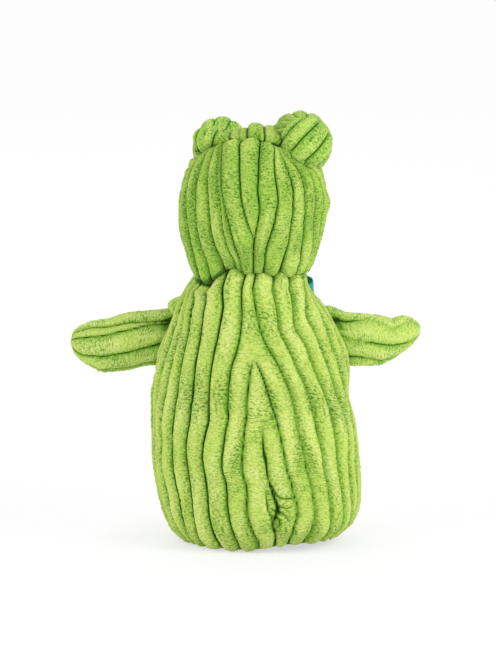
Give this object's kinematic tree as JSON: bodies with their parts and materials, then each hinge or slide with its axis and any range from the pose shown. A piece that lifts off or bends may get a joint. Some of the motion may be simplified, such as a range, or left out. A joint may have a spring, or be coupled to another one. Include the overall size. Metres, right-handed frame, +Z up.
{
  "type": "plush frog",
  "caption": "Stuffed toy frog in wide-wale corduroy plush that sits upright, with paddle arms held out, raised eyes on the crown and a cotton bow at the throat.",
  "frame": {"origin": "middle of the flat base, on the surface the frog sits on", "axes": "+Z up, the frog looks along -Y, its own left is +X"},
  "size_m": [0.2076, 0.1073, 0.254],
  "materials": {
    "corduroy": "deep pile in wide wales",
    "stuffing": "loose white fibre",
    "bow_cotton": "smooth woven",
    "felt": "matt",
    "black_plastic": "polished",
    "white_plastic": "plain moulded",
    "thread": "satin stitch"
  },
  "bodies": {
    "torso": {"torso_back_left_panel": "corduroy", "torso_back_right_panel": "corduroy", "torso_front_panel": "corduroy", "base_panel": "corduroy", "torso_stuffing": "stuffing", "bow_left_loop": "bow_cotton", "bow_right_loop": "bow_cotton", "bow_knot": "bow_cotton"},
    "neck": {"neck_stuffing": "stuffing"},
    "head": {"head_back_left_panel": "corduroy", "head_back_right_panel": "corduroy", "face_panel": "corduroy", "head_stuffing": "stuffing", "mouth_stitching": "thread", "left_nostril": "thread", "right_nostril": "thread"},
    "left_mound": {"left_mound_front_panel": "corduroy", "left_mound_back_disc": "corduroy", "left_mound_stuffing": "stuffing", "left_eye_felt": "felt", "left_eye_button": "black_plastic", "left_eye_washer": "white_plastic"},
    "right_mound": {"right_mound_front_panel": "corduroy", "right_mound_back_disc": "corduroy", "right_mound_stuffing": "stuffing", "right_eye_felt": "felt", "right_eye_button": "black_plastic", "right_eye_washer": "white_plastic"},
    "left_arm": {"left_arm_front_panel": "corduroy", "left_arm_back_panel": "corduroy", "left_arm_stuffing": "stuffing"},
    "right_arm": {"right_arm_front_panel": "corduroy", "right_arm_back_panel": "corduroy", "right_arm_stuffing": "stuffing"}
  },
  "joints": [
    {"name": "head_turn", "type": "hinge", "parent": "torso", "child": "neck", "pos_m": [0, 0, 0.153], "axis": [0, 0, 1], "range_deg": [-30, 30], "stiffness_Nm_per_rad": 0.15},
    {"name": "head_nod", "type": "hinge", "parent": "neck", "child": "head", "pos_m": [0, 0, 0.153], "axis": [1, 0, 0], "range_deg": [-10, 10], "stiffness_Nm_per_rad": 0.3},
    {"name": "left_mound_tilt", "type": "hinge", "parent": "head", "child": "left_mound", "pos_m": [0.02329, -0.00904, 0.23803], "axis": [-0.7556, 0.1884, 0.6273], "range_deg": [-6, 6], "stiffness_Nm_per_rad": 0.03},
    {"name": "right_mound_tilt", "type": "hinge", "parent": "head", "child": "right_mound", "pos_m": [-0.02834, 0.00184, 0.23546], "axis": [-0.7786, -0.0544, -0.6251], "range_deg": [-6, 6], "stiffness_Nm_per_rad": 0.03},
    {"name": "left_arm_swing", "type": "hinge", "parent": "torso", "child": "left_arm", "pos_m": [0.04865, -0.01274, 0.117], "axis": [0.2784, -0.0318, -0.9599], "range_deg": [-20, 40], "stiffness_Nm_per_rad": 0.02},
    {"name": "right_arm_swing", "type": "hinge", "parent": "torso", "child": "right_arm", "pos_m": [-0.04865, -0.01274, 0.117], "axis": [0.2784, 0.0318, 0.9599], "range_deg": [-38, 22], "stiffness_Nm_per_rad": 0.02}
  ]
}
